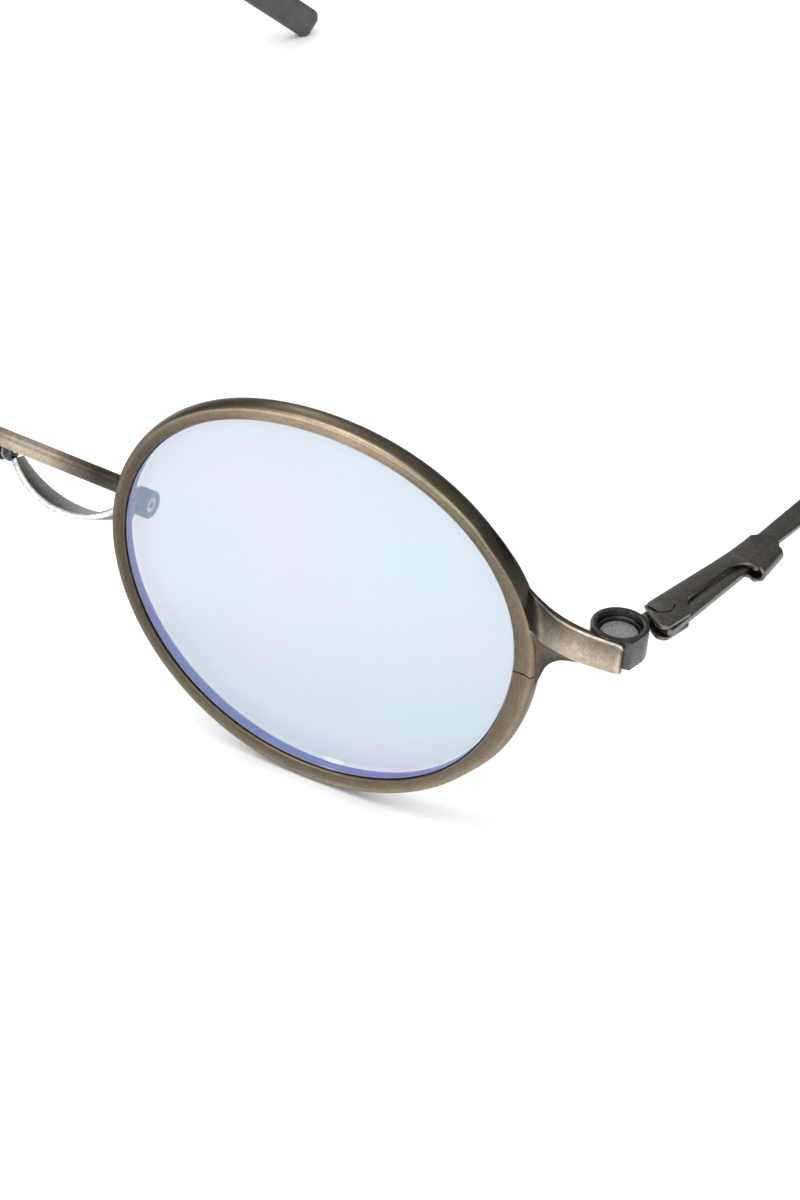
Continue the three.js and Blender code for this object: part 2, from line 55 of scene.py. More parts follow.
LENS = {
    "half_width": 22, "half_height": 20.43, "soften": 0.013, "square": 0.005,
    "brow": 0.0115, "brow_phase": 0.5,
    "centre": Vector((34, 0, 22.1)), "lean": math.radians(2.66), "wrap": math.radians(2.55),
    "bulge": 1.7, "front": 0.35, "back": 2.1, "gap": 0.12,
}
RIM = {"ridge": 1.2, "flare": 0.68, "flare_reach": 0.7, "chin": 0.35, "depth": 2.3, "split_z": 0.8,
       "split": 0.14, "swell_angle": 0.47, "swell_reach": 0.27, "swell_loss": 0.85}
ARM = {"steps": 16, "hollow": 0.26, "hollow_reach": 1.6, "swell": 0.3, "round_from": 0.965,
       "round_by": 0.16}
GUSSET = {"steps": 6, "hollow": 0.12, "rings": 48}
BRIDGE = {"radius": 0.92, "z": 26.85, "y": 0.1, "end": 11.2}
CUP = {"x": 64.43, "y": 5.4, "top": 29.7, "floor": 27.1, "bottom": 26.5, "radius": 2.85, "bore": 2.22,
       "side": 66.95, "inner": 62.4, "front": 3.25, "liner_top": 29.15, "liner_bore": 1.95,
       "magnet": 1.88, "magnet_top": 28.75}
HINGE = {"x": 65.73, "y": 11.34, "top": 29.2, "flare": math.radians(11), "plate": 0.45, "cavity": 0.9,
         "base": 0.4, "play": 0.08, "pin": 0.6, "eye": 1.15, "neck": 0.62, "neck_end": -3.1}
BAND = {"width": 2.2, "thickness": 0.74, "ear_width": 2.9, "corner": 0.22, "front": 2.95,
        "drift": 0.095, "twist_from": 0.05, "twist_to": 0.55, "end": 0.985}
TIP = {"start": 0.71, "height": 4.2, "thickness": 1.9, "corner": 0.78, "mouth": 0.62, "mouth_reach": 6,
       "round_from": 0.955, "round_least": 0.02}
LOBE = {"inner": 1.2, "outer": 1.56, "from": math.radians(-128), "to": math.radians(52)}
SADDLE = {"radius": 9.3, "half_angle": 0.9, "thickness": 0.68, "width": 4.8, "end_width": 2.5,
          "y": 5.3, "z": 16, "tilt": 0.454, "flare": 0.03, "eye": 1.3, "eye_bore": 0.5, "eye_x": 7.15,
          "eye_height": 4.65}
BARREL = {"inner": 8.2, "outer": 10.15, "radius": 1.5, "bore": 0.9, "sleeve": 0.95, "sleeve_bore": 0.45,
          "washer": 0.34, "washer_radius": 1.2, "washer_bore": 0.48, "shank": 0.38, "head": 0.8,
          "head_radius": 0.8, "socket": 0.42}
POST = {"rim_end": (10.6, 1.3), "barrel_x": 8.65, "radius": 0.42, "flare": 0.08}
CLOSER = {"low": 21.9, "high": 23.0, "front": 2.36, "back": 3.8, "height": 1.55, "hole": 0.36,
          "shank": 0.3, "head": 0.55, "slot": 0.09}
CAMERA = {"azimuth": math.radians(27.56), "elevation": math.radians(34.99), "roll": math.radians(5.33),
          "place": (175.316, -252.55, 226.042), "lens": 108, "sensor": 36}

TEMPLE_ROUTE = [Vector(p) for p in (
    (68.26, 23.03, 28.3), (68.85, 29.03, 28.3), (70.1, 45, 28.1), (70.6, 64, 27.7), (69.7, 86, 27.2),
    (67.4, 104, 26.2), (65.6, 113.5, 24.6), (62.7, 124.5, 18.6), (58.9, 136, 9.1), (55.2, 146.5, 0.45))]

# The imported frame's offset from the own axes, measured on the bridge bar.
bridge_low, bridge_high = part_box("bridge_bar")
FRONT = (bridge_low.y + bridge_high.y) / (2 * MM) - BRIDGE["y"]
LIFT = (bridge_low.z + bridge_high.z) / (2 * MM) - BRIDGE["z"]

# ---- Shapes: each is a pair of points and faces ----


def loft(rings, closed=False, caps=True):
    """A skin over rings of equal size."""
    size = len(rings[0])
    points = [p for ring in rings for p in ring]
    spans = len(rings) if closed else len(rings) - 1
    faces = []
    for r in range(spans):
        start, follow = r * size, ((r + 1) % len(rings)) * size
        for i in range(size):
            j = (i + 1) % size
            faces.append((start + i, start + j, follow + j, follow + i))
    if caps and not closed:
        faces.append(tuple(range(size)))
        faces.append(tuple(range(len(points) - size, len(points))))
    return points, faces


def joined(*shapes):
    points, faces = [], []
    for more_points, more_faces in shapes:
        base = len(points)
        points += more_points
        faces += [tuple(base + i for i in face) for face in more_faces]
    return points, faces


def ring_places(shape, size):
    """Each point's share across its ring and along the loft."""
    points = len(shape[0])
    spans = points // size - 1
    return [((i % size) / size, (i // size) / spans) for i in range(points)]


def moved(shape, matrix):
    return [matrix @ Vector(p) for p in shape[0]], shape[1]


def circle(radius, steps=64, x=0.0, y=0.0):
    turns = [2 * math.pi * i / steps for i in range(steps)]
    return [(x + radius * math.cos(a), y + radius * math.sin(a)) for a in turns]


def turned(profile, steps=64):
    """A skin turned about Z from (radius, height) pairs."""
    return loft([[Vector((*p, z)) for p in circle(max(r, 1e-4), steps)] for r, z in profile])


def rounded(radius, low, high, edge=0.08, bore=None):
    """The profile of a disc or, with a bore, of a ring whose skin closes on itself."""
    outside = [(radius - edge, low), (radius, low + edge), (radius, high - edge), (radius - edge, high)]
    if bore is None:
        return outside
    return outside + [(bore + edge, high), (bore, high - edge), (bore, low + edge), (bore + edge, low)]


def ring_shape(radius, low, high, bore, edge=0.06, steps=64):
    profile = rounded(radius, low, high, edge, bore)
    return loft([[Vector((*p, z)) for p in circle(r, steps)] for r, z in profile], closed=True)


def outline(start, *steps, pieces=10):
    """Points from lines, (x, y), and curves, (pull x, pull y, x, y)."""
    points = [start]
    for step in steps:
        if len(step) == 2:
            points.append(step)
            continue
        x0, y0 = points[-1]
        cx, cy, x1, y1 = step
        for i in range(1, pieces + 1):
            t = i / pieces
            a, b, c = (1 - t) ** 2, 2 * t * (1 - t), t * t
            points.append((a * x0 + b * cx + c * x1, a * y0 + b * cy + c * y1))
    return points


def plate(loops, low, high, edge=0.07):
    """A flat plate between two heights with rounded edges, open inside the second and later loops."""
    curve = bpy.data.curves.new("plate", "CURVE")
    curve.dimensions = "2D"
    curve.fill_mode = "BOTH"
    curve.extrude = (high - low) / 2 - edge
    curve.bevel_depth = edge
    curve.bevel_resolution = 2
    curve.offset = -edge
    for loop in loops:
        spline = curve.splines.new("POLY")
        spline.points.add(len(loop) - 1)
        for point, (x, y) in zip(spline.points, loop):
            point.co = (x, y, 0, 1)
        spline.use_cyclic_u = True
    holder = bpy.data.objects.new("plate", curve)
    mesh = bpy.data.meshes.new_from_object(holder)
    middle = (low + high) / 2
    points = [v.co + Vector((0, 0, middle)) for v in mesh.vertices]
    faces = [tuple(p.vertices) for p in mesh.polygons]
    bpy.data.objects.remove(holder)
    bpy.data.curves.remove(curve)
    bpy.data.meshes.remove(mesh)
    return points, faces


def rounded_box(width, thickness, corner, steps=4):
    """The section of a strip with rounded corners."""
    points = []
    for quarter, (sx, sy) in enumerate(((1, 1), (-1, 1), (-1, -1), (1, -1))):
        for i in range(steps + 1):
            a = (quarter + i / steps) * math.pi / 2
            points.append((sx * (width / 2 - corner) + corner * math.cos(a),
                           sy * (thickness / 2 - corner) + corner * math.sin(a)))
    return points


def spline_through(points, samples=40):
    """Evenly sampled points of a smooth curve through the given ones."""
    ends = [2 * points[0] - points[1], *points, 2 * points[-1] - points[-2]]
    curve = []
    for before, start, end, after in zip(ends, ends[1:], ends[2:], ends[3:]):
        knots = [0.0]
        for a, b in ((before, start), (start, end), (end, after)):
            knots.append(knots[-1] + math.sqrt((b - a).length))
        for i in range(samples):
            t = knots[1] + (knots[2] - knots[1]) * i / samples
            curve.append(knotted(knots, (before, start, end, after), t))
    return curve + [points[-1]]


def knotted(knots, points, t):
    """A point of the centripetal spline between the middle two of four points."""
    level = list(points)
    for starts, span in ((knots, 1), (knots, 2), (knots[1:], 1)):
        level = [(a * (starts[i + span] - t) + b * (t - starts[i])) / (starts[i + span] - starts[i])
                 for i, (a, b) in enumerate(zip(level, level[1:]))]
    return level[0]


class Route:
    """A smooth line measured by the share of its length."""

    def __init__(self, points):
        self.points = spline_through(points)
        self.lengths = [0.0]
        for a, b in zip(self.points, self.points[1:]):
            self.lengths.append(self.lengths[-1] + (b - a).length)

    def at(self, share):
        wanted = min(max(share, 0.0), 1.0) * self.lengths[-1]
        last = len(self.points) - 2
        i = next((k for k, reach in enumerate(self.lengths[1:]) if reach >= wanted), last)
        part = (wanted - self.lengths[i]) / (self.lengths[i + 1] - self.lengths[i])
        return self.points[i].lerp(self.points[i + 1], part)

    def ahead(self, share):
        step = 0.004
        return (self.at(share + step) - self.at(share - step)).normalized()


# ---- Putting pieces in the scene ----


def place(point, sign):
    return Vector((sign * point[0], point[1] + FRONT, point[2] + LIFT)) * MM


def add_piece(name, shape, material, body, nodes, sign=1, sharp=38, soften=0, layers=None):
    """Adds a shape as a smooth mesh that stands for CAD nodes and rides on a body.

    Edges steeper than the sharp angle, in degrees, stay sharp or get a soft bevel.
    """
    points, faces = shape
    mesh = bpy.data.meshes.new(name)
    mesh.from_pydata([place(p, sign) for p in points], [], faces)
    for layer_name, places in (layers or {}).items():
        layer = mesh.uv_layers.new(name=layer_name)
        for loop in mesh.loops:
            layer.data[loop.index].uv = places[loop.vertex_index]
    shaped = bmesh.new()
    shaped.from_mesh(mesh)
    bmesh.ops.remove_doubles(shaped, verts=shaped.verts, dist=1e-7)
    bmesh.ops.recalc_face_normals(shaped, faces=shaped.faces)
    shaped.to_mesh(mesh)
    shaped.free()
    mesh.shade_smooth()
    mesh.set_sharp_from_angle(angle=math.radians(sharp))
    mesh.materials.append(material)
    piece = bpy.data.objects.new(name, mesh)
    bpy.context.scene.collection.objects.link(piece)
    if soften:
        bevel = piece.modifiers.new("soft edges", "BEVEL")
        bevel.width = soften * MM
        bevel.segments = 3
        bevel.limit_method = "ANGLE"
        bevel.angle_limit = math.radians(sharp)
        bevel.harden_normals = True
    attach(piece, body)
    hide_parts(*nodes)
    return piece


# ---- Materials ----


class Finish:
    """A material whose nodes are added one by one around its main shader."""

    def __init__(self, name, **constants):
        self.material = bpy.data.materials.new(name)
        self.material.use_nodes = True
        self.tree = self.material.node_tree
        self.shader = self.tree.nodes["Principled BSDF"]
        for socket, value in constants.items():
            self.shader.inputs[socket.replace("_", " ")].default_value = value

    def node(self, kind, sources=None, **settings):
        node = self.tree.nodes.new(kind)
        for key, value in settings.items():
            setattr(node, key, value)
        for socket, value in (sources or {}).items():
            if isinstance(value, bpy.types.NodeSocket):
                self.tree.links.new(value, node.inputs[socket])
            else:
                node.inputs[socket].default_value = value
        return node

    def shade(self, socket, source):
        self.tree.links.new(source, self.shader.inputs[socket])

    def place(self, scale, layer=None):
        """Coordinates times the scale: the object's in millimetres, or those of a UV layer."""
        if layer:
            source = self.node("ShaderNodeUVMap", uv_map=layer).outputs["UV"]
        else:
            source = self.node("ShaderNodeTexCoord").outputs["Object"]
            scale = [s / MM for s in scale]
        return self.node("ShaderNodeMapping", {"Vector": source, "Scale": scale}).outputs["Vector"]

    def noise(self, where, scale=1.0, detail=3.0, rough=0.55):
        sources = {"Vector": where, "Scale": scale, "Detail": detail, "Roughness": rough}
        return self.node("ShaderNodeTexNoise", sources).outputs["Fac"]

    def ramp(self, source, *stops):
        node = self.node("ShaderNodeValToRGB", {"Fac": source})
        elements = node.color_ramp.elements
        while len(elements) < len(stops):
            elements.new(0.5)
        for element, (position, colour) in zip(elements, stops):
            element.position = position
            element.color = (*colour, 1)
        return node.outputs["Color"]

    def span(self, source, low, high):
        sources = {"Value": source, "To Min": low, "To Max": high, "From Min": 0.3, "From Max": 0.7}
        return self.node("ShaderNodeMapRange", sources).outputs["Result"]

    def mix(self, share, a, b, kind="MIX"):
        node = self.node("ShaderNodeMix", data_type="RGBA", blend_type=kind)
        sockets = (node.inputs["Factor"], node.inputs[6], node.inputs[7])
        for socket, value in zip(sockets, (share, a, b)):
            if isinstance(value, bpy.types.NodeSocket):
                self.tree.links.new(value, socket)
            else:
                socket.default_value = value if isinstance(value, float) else (*value, 1)
        return node.outputs[2]

    def bump(self, source, height, after=None):
        sources = {"Height": source, "Distance": height * MM, "Strength": 1.0}
        if after:
            sources["Normal"] = after
        return self.node("ShaderNodeBump", sources).outputs["Normal"]


def greys(*stops):
    return [(position, (tone, tone, tone)) for position, tone in stops]


def satin_metal(name, dark, light, smooth, rough, grain=0.006, layer=None, patina=None):
    """Plated metal with brushing streaks, cloudy colour, dark and light specks, and a fine grain.

    The painted light is two lists of stops that the colour is multiplied by, for painted highlights and
    painted shade: across the ring, and along the loft.
    """
    finish = Finish(name, Metallic=1.0)
    streaks = finish.noise(finish.place((0.35, 14, 1) if layer else (2.2, 2.2, 2.2), layer))
    clouds = finish.noise(finish.place((0.45, 0.45, 0.45)), detail=2.0)
    grains = finish.noise(finish.place((16, 16, 16)), detail=1.0)
    colour = finish.ramp(streaks, (0.25, dark), (0.75, light))
    shadow = finish.span(clouds, 0.0, 0.35)
    colour = finish.mix(shadow, colour, [c * 0.72 for c in dark])
    specks = finish.noise(finish.place((5.5, 5.5, 5.5)), detail=2.0, rough=0.7)
    speck_tones = finish.ramp(specks, *greys((0.36, 0.84), (0.64, 1.16)))
    colour = finish.mix(1.0, colour, speck_tones, "MULTIPLY")
    # Painted highlights and painted shade, multiplied into the colour from the places in the painted light
    # layer.
    if patina:
        where = finish.node("ShaderNodeSeparateXYZ", {"Vector": finish.place((1, 1, 1), "patina")})
        for direction, stops in zip(("X", "Y"), patina):
            tone = finish.ramp(where.outputs[direction], *stops)
            colour = finish.mix(1.0, colour, tone, "MULTIPLY")
    finish.shade("Base Color", colour)
    finish.shade("Roughness", finish.span(grains, smooth, rough))
    streak_normal = finish.bump(streaks, grain)
    finish.shade("Normal", finish.bump(grains, grain * 0.8, streak_normal))
    return finish.material


def grainy_magnet():
    finish = Finish("grainy_magnet", Metallic=0.85)
    grains = finish.noise(finish.place((3.4, 3.4, 3.4)), detail=6.0, rough=0.75)
    flecks = finish.noise(finish.place((9, 9, 9)), detail=3.0)
    colour = finish.ramp(grains, (0.32, (0.22, 0.22, 0.21)), (0.68, (0.6, 0.6, 0.58)))
    finish.shade("Base Color", colour)
    finish.shade("Roughness", finish.span(flecks, 0.45, 0.75))
    finish.shade("Normal", finish.bump(grains, 0.05))
    return finish.material


def tip_sleeve():
    finish = Finish("tip_sleeve")
    grains = finish.noise(finish.place((5, 5, 5)), detail=4.0)
    clouds = finish.noise(finish.place((0.3, 0.3, 0.3)), detail=2.0)
    colour = finish.ramp(clouds, (0.35, (0.05, 0.047, 0.047)), (0.7, (0.075, 0.07, 0.07)))
    finish.shade("Base Color", colour)
    finish.shade("Roughness", finish.span(grains, 0.42, 0.6))
    finish.shade("Normal", finish.bump(grains, 0.012))
    return finish.material


def coated_lens():
    """A clear lens with a painted reflection: the coating's pale blue veil, drifting to pink and cyan, is
    painted as the colour of a partly opaque skin.
    """
    finish = Finish("coated_lens", Roughness=0.04, Alpha=0.39, IOR=1.5,
                    Coat_Weight=0.4, Coat_Roughness=0.02)
    drift = finish.noise(finish.place((0.055, 0.055, 0.055)), detail=1.0)
    cyan, blue, pink = (0.3, 0.45, 0.53), (0.32, 0.43, 0.54), (0.37, 0.41, 0.54)
    # Painted reflection of the coating.
    finish.shade("Base Color", finish.ramp(drift, (0.36, cyan), (0.5, blue), (0.64, pink)))
    return finish.material


def violet_edge():
    """The lens's ground edge, with the coating's violet reflection painted into its colour."""
    finish = Finish("violet_edge", Coat_Weight=0.15, Coat_Roughness=0.2)
    grains = finish.noise(finish.place((1.2, 1.2, 1.2)), detail=2.0)
    # Painted violet reflection of the coating, varied by grain.
    colour = finish.ramp(grains, (0.3, (0.02, 0.008, 0.28)), (0.7, (0.055, 0.025, 0.48)))
    finish.shade("Base Color", colour)
    finish.shade("Roughness", finish.span(grains, 0.3, 0.45))
    return finish.material


# Each painted light has the stops across the ring, then the stops along the loft.
EVEN = greys((0.0, 1.0), (1.0, 1.0))
# The rim's painted light: painted highlights on the inner lip and the ridge, painted shade in the groove
# and on the side wall behind the ridge; along the rim, painted lighter at the top and darker on the side
# by the nose.
RIM_PAINTED_LIGHT = (
    ((0.0, (0.25, 0.23, 0.2)), (0.10, (0.3, 0.27, 0.23)), (0.13, (1.3, 1.25, 1.18)),
     (0.21, (0.74, 0.72, 0.7)), (0.33, (1.0, 0.98, 0.95)), (0.385, (1.42, 1.38, 1.3)),
     (0.47, (1.42, 1.37, 1.28)), (0.53, (0.9, 0.88, 0.85)), (0.64, (0.62, 0.6, 0.59)),
     (0.74, (0.34, 0.33, 0.32)), (1.0, (0.25, 0.24, 0.23))),
    greys((0.0, 0.85), (0.1, 0.85), (0.16, 1.3), (0.22, 1.9), (0.27, 1.7), (0.33, 0.95),
          (0.42, 0.54), (0.55, 0.5), (0.66, 0.8), (0.78, 0.94), (0.9, 0.9), (1.0, 0.85)),
)
# The end piece's painted light: painted highlights along the crease and the front top edge, the face
# painted darker upwards and on its top; along it, painted shade in the hollow by the rim and a painted
# highlight on the face towards the tip.
ARM_PAINTED_LIGHT = (
    greys((0.0, 1.7), (0.03, 1.0), (0.2, 1.1), (0.42, 0.86), (0.62, 0.58), (0.73, 0.46),
          (0.77, 1.9), (0.82, 0.35), (1.0, 0.4)),
    greys((0.0, 0.3), (0.38, 0.28), (0.52, 0.42), (0.66, 1.1), (0.8, 1.6), (0.93, 1.4),
          (0.975, 1.3), (0.99, 2.2), (1.0, 0.7)),
)
# The fillet's painted shade: lit beside the ridge, painted darker down to its lower edge.
GUSSET_PAINTED_SHADE = greys((0.0, 1.1), (0.1, 0.6), (0.4, 0.38), (0.65, 0.2), (1.0, 0.3)), EVEN
# The bridge's painted light: a painted highlight in the middle of the bar and painted shade towards the
# rims.
BRIDGE_PAINTED_LIGHT = EVEN, greys((0.0, 1.7), (0.22, 1.45), (0.5, 0.5), (0.75, 0.2), (1.0, 0.25))
# The saddle's painted highlight along its front edge; the rest of the strip is darker.
SADDLE_PAINTED_LIGHT = greys((0.0, 1.7), (0.035, 1.7), (0.06, 0.24), (1.0, 0.22)), EVEN

PEWTER_TONES = (0.27, 0.225, 0.172), (0.4, 0.34, 0.27)
PEWTER = satin_metal("pewter_plating", *PEWTER_TONES, 0.3, 0.42)
RIM_METAL = satin_metal("brushed_rim", (0.18, 0.149, 0.108), (0.29, 0.242, 0.182), 0.3, 0.44, 0.01,
                        "brush", RIM_PAINTED_LIGHT)
ARM_METAL = satin_metal("end_piece_pewter", *PEWTER_TONES, 0.34, 0.46, 0.008, patina=ARM_PAINTED_LIGHT)
GUSSET_METAL = satin_metal("gusset_pewter", *PEWTER_TONES, 0.34, 0.46, 0.008, patina=GUSSET_PAINTED_SHADE)
BRIDGE_METAL = satin_metal("bridge_pewter", *PEWTER_TONES, 0.42, 0.52, patina=BRIDGE_PAINTED_LIGHT)
BARREL_METAL = satin_metal("dark_barrel", (0.035, 0.037, 0.045), (0.07, 0.074, 0.09), 0.3, 0.42)
GUNMETAL = satin_metal("gunmetal_plating", (0.15, 0.141, 0.123), (0.25, 0.236, 0.208), 0.28, 0.42)
CUP_METAL = satin_metal("cup_gunmetal", (0.085, 0.085, 0.085), (0.15, 0.149, 0.147), 0.28, 0.42)
STEEL = satin_metal("bright_steel", (0.42, 0.41, 0.39), (0.6, 0.59, 0.57), 0.2, 0.36)
SADDLE_STEEL = satin_metal("saddle_steel", (0.36, 0.35, 0.33), (0.56, 0.55, 0.52), 0.26, 0.5, 0.012,
                           patina=SADDLE_PAINTED_LIGHT)
MAGNET = grainy_magnet()
TIP_SLEEVE = tip_sleeve()
LENS_GLASS = coated_lens()
LENS_EDGE = violet_edge()

# ---- Rim and lens, in the lens's own plane, with angles from its outer side upwards ----

lens_plane = (Matrix.Translation(LENS["centre"])
              @ Matrix.Rotation(LENS["wrap"], 4, "Z") @ Matrix.Rotation(LENS["lean"], 4, "X"))


def outline_point(angle):
    """The lens outline: an ellipse, a little egg-shaped and square, with a raised outer brow."""
    across = math.cos(angle) / LENS["half_width"]
    upward = math.sin(angle) / LENS["half_height"]
    outer = max(0.0, math.cos(angle)) ** 2
    pull = 1 + LENS["soften"] * math.sin(3 * angle) - LENS["square"] * math.cos(4 * angle)
    pull += LENS["brow"] * outer * math.sin(4 * angle - LENS["brow_phase"])
    radius = pull / math.hypot(across, upward)
    return Vector((radius * math.cos(angle), radius * math.sin(angle)))


def lens_point(angle, offset, depth):
    """A point outside the lens outline by the offset, behind the rim's front plane by the depth."""
    step = 1e-3
    along = (outline_point(angle + step) - outline_point(angle - step)).normalized()
    point = outline_point(angle)
    return Vector((point.x + along.y * offset, depth, point.y - along.x * offset))


def rim_flare(angle):
    """How much wider the front face is towards the end piece and at the bottom."""
    away = math.remainder(angle, 2 * math.pi) / RIM["flare_reach"]
    beside = RIM["flare"] * (1 - away ** 4) ** 2 if abs(away) < 1 else 0.0
    return beside + RIM["chin"] * max(0.0, -math.sin(angle)) ** 6


def side_swell(angle):
    """How far the rim's side stands out beyond its ridge: less where the end piece grows out of it."""
    away = (math.remainder(angle, 2 * math.pi) - RIM["swell_angle"]) / RIM["swell_reach"]
    return 1 - RIM["swell_loss"] * (1 - away ** 4) ** 2 if abs(away) < 1 else 1.0


def rim_section(angle):
    """The rim's section from the groove over the lip, face, ridge and side to the back."""
    ridge = RIM["ridge"] + rim_flare(angle)
    depth = RIM["depth"]
    swell = side_swell(angle)
    face = [(0.06, 0.07), (0.16, 0.04), (0.3, 0.1), (0.4 * ridge, 0.17), (0.62 * ridge, 0.17),
            (ridge - 0.32, 0.12), (ridge - 0.17, 0.04), (ridge - 0.04, 0.0), (ridge + 0.07 * swell, 0.04)]
    wall = [(0.17, 0.14), (0.27, 0.33), (0.33, 0.6), (0.37, 0.95), (0.36, 1.35), (0.31, 1.7), (0.2, 2.02),
            (0.08, 2.2), (-0.1, depth)]
    side = [(ridge + out * swell, back) for out, back in wall]
    inside = [(0.62, 1.22), (0.02, 0.66), (0.0, 0.55), (0.0, 0.2)]
    back = [(0.66, depth), (0.56, depth - 0.06), (0.52, 2.1), (0.52, 1.6)]
    return inside + face + side + back


def rim_shape(steps=360):
    split = math.asin(RIM["split_z"] / LENS["half_height"])
    half_gap = RIM["split"] / (2 * LENS["half_width"])
    angles = [split + half_gap + (2 * math.pi - 2 * half_gap) * i / steps for i in range(steps + 1)]
    rings = [[lens_plane @ lens_point(a, d, y) for d, y in rim_section(a)] for a in angles]
    shape = loft(rings)
    patina = ring_places(shape, len(rings[0]))
    length = 2 * math.pi * LENS["half_width"]
    brush = [(along * length, across * 6) for across, along in patina]
    return shape, {"brush": brush, "patina": patina}


def curve_at(points, share):
    """A smooth curve through control points, by the share of its control spans."""
    spans = len(points) - 1
    i = min(int(share * spans), spans - 1)
    t = share * spans - i
    ends = [2 * points[0] - points[1], *points, 2 * points[-1] - points[-2]]
    a, b, c, d = ends[i:i + 4]
    bend, twist = 2 * a - 5 * b + 4 * c - d, 3 * b - a - 3 * c + d
    return 0.5 * (2 * b + (c - a) * t + bend * t * t + twist * t ** 3)


def ridge_point(angle, inward=0.0, depth=0.02):
    return lens_point(angle, RIM["ridge"] + rim_flare(angle) - inward, depth)


def arm_edges():
    """The end piece's long edges, from the rim's upper side down along its ridge and out to the tip."""
    return {
        "crease": [ridge_point(0.7, 0.04), ridge_point(0.54, 0.02), ridge_point(0.4),
                   (23.72, 0.07, 6.1), (25.4, 0.26, 5.02), (28.3, 0.6, 4.28), (32.45, 1.15, 4.02)],
        "top": [lens_point(0.74, 1.5, 1.95), lens_point(0.58, 1.6, 1.95), (21.6, 1.9, 10.0),
                (23.7, 1.78, 8.4), (25.9, 1.6, 7.56), (28.6, 1.42, 7.34), (32.5, 1.25, 7.5)],
        "top_back": [lens_point(0.74, 1.3, 2.2), lens_point(0.58, 1.4, 2.28), (21.5, 2.36, 9.9),
                     (23.6, 2.48, 8.2), (25.8, 2.5, 7.3), (28.6, 2.1, 7.24), (32.45, 1.75, 7.4)],
        "low_back": [ridge_point(0.68, 0.3, 1.9), ridge_point(0.52, 0.3, 2.0),
                     ridge_point(0.36, 0.3, 2.0), (23.5, 2.0, 5.6), (25.5, 2.15, 4.4),
                     (28.3, 2.1, 3.9), (32.4, 1.75, 3.9)],
        "low": [ridge_point(0.69, 0.3, 1.0), ridge_point(0.53, 0.3, 1.0), ridge_point(0.38, 0.3, 1.0),
                (23.4, 0.9, 5.7), (25.4, 0.95, 4.5), (28.3, 1.15, 3.9), (32.4, 1.5, 3.83)],
    }


def gusset_edges():
    """The fillet below the arm: from the ridge and the crease down to the side of the rim."""
    return {
        "front": [ridge_point(-0.14, 0.03), ridge_point(0.02, 0.02), ridge_point(0.16, 0.01),
                  ridge_point(0.27, -0.02, 0.03), (24.6, 0.18, 5.42), (26.3, 0.36, 4.72),
                  (28.6, 0.64, 4.25)],
        "low": [ridge_point(-0.16, -0.33, 0.85), (24.05, 0.85, -0.5), (24.5, 0.85, 0.95),
                (24.95, 0.87, 2.15), (25.7, 0.9, 3.05), (26.8, 0.98, 3.6), (28.6, 1.2, 3.88)],
        "low_back": [ridge_point(-0.14, 0.1, 1.95), (23.9, 1.95, -0.5), (24.3, 1.95, 0.95),
                     (24.8, 2.0, 2.15), (25.6, 2.1, 3.1), (26.8, 2.1, 3.7), (28.6, 2.1, 3.95)],
        "inner": [ridge_point(-0.12, 0.5, 1.2), ridge_point(0.02, 0.5, 1.2),
                  ridge_point(0.12, 0.5, 1.2), ridge_point(0.2, 0.3, 1.2), (24.0, 1.2, 5.0),
                  (26.0, 1.2, 4.7), (28.6, 1.3, 4.6)],
    }


def skin_between(edges, ring_at, steps=140):
    """A skin of rings, each worked out from where the edges are at its share of the way."""
    lines = {name: [Vector(p) for p in points] for name, points in edges.items()}
    rings = []
    for s in range(steps + 1):
        at = {name: curve_at(points, s / steps) for name, points in lines.items()}
        rings.append([lens_plane @ p for p in ring_at(at, s / steps)])
    return loft(rings)


def arched(start, end, steps, height):
    """Points from one to the other, pushed back by the height in the middle."""
    shares = [i / steps for i in range(steps + 1)]
    return [start.lerp(end, v) + Vector((0, height * 4 * v * (1 - v), 0)) for v in shares]


def arm_ring(at, share):
    """The face is hollow beside the ridge and swells towards the tip."""
    hollow = ARM["hollow"] * math.sin(math.pi * min(ARM["hollow_reach"] * share, 1))
    swell = ARM["swell"] * max(0, 2 * share - 1)
    face = arched(at["crease"], at["top"], ARM["steps"], hollow - swell)
    return rounded_off(face + [at["top_back"], at["low_back"], at["low"]], share)


def rounded_off(ring, share):
    """Draws the last rings in towards their middle, so that the tip's corners are round."""
    part = max(0.0, (share - ARM["round_from"]) / (1 - ARM["round_from"]))
    middle = sum(ring, Vector()) / len(ring)
    size = 1 - ARM["round_by"] * (1 - math.sqrt(1 - min(part, 1.0) ** 2))
    return [middle.lerp(point, size) for point in ring]


def gusset_ring(at, _share):
    face = arched(at["front"], at["low"], GUSSET["steps"], GUSSET["hollow"])
    return face + [at["low_back"], at["inner"]]


def arm_shape():
    shape = skin_between(arm_edges(), arm_ring)
    return shape, {"patina": ring_places(shape, ARM["steps"] + 4)}


def gusset_shape():
    shape = skin_between(gusset_edges(), gusset_ring, GUSSET["rings"])
    return shape, {"patina": ring_places(shape, GUSSET["steps"] + 3)}


def lens_shape(steps=180, rings=14):
    """A shell curved the same way on both faces, with its edge ground square."""
    edge = -LENS["gap"]
    angles = [2 * math.pi * i / steps for i in range(steps)]
    shares = [math.sin((r + 0.35) / rings * math.pi / 2) for r in range(rings)]

    def scaled(angle, share, front):
        point = lens_point(angle, edge, 0)
        return Vector((point.x * share, front - LENS["bulge"] * (1 - share ** 2), point.z * share))

    front, back = ([[scaled(a, share, LENS[face]) for a in angles] for share in shares]
                   for face in ("front", "back"))
    wall = [[lens_point(a, edge, LENS[face]) for a in angles] for face in ("front", "back")]
    return moved(loft(front + wall + back[::-1]), lens_plane)


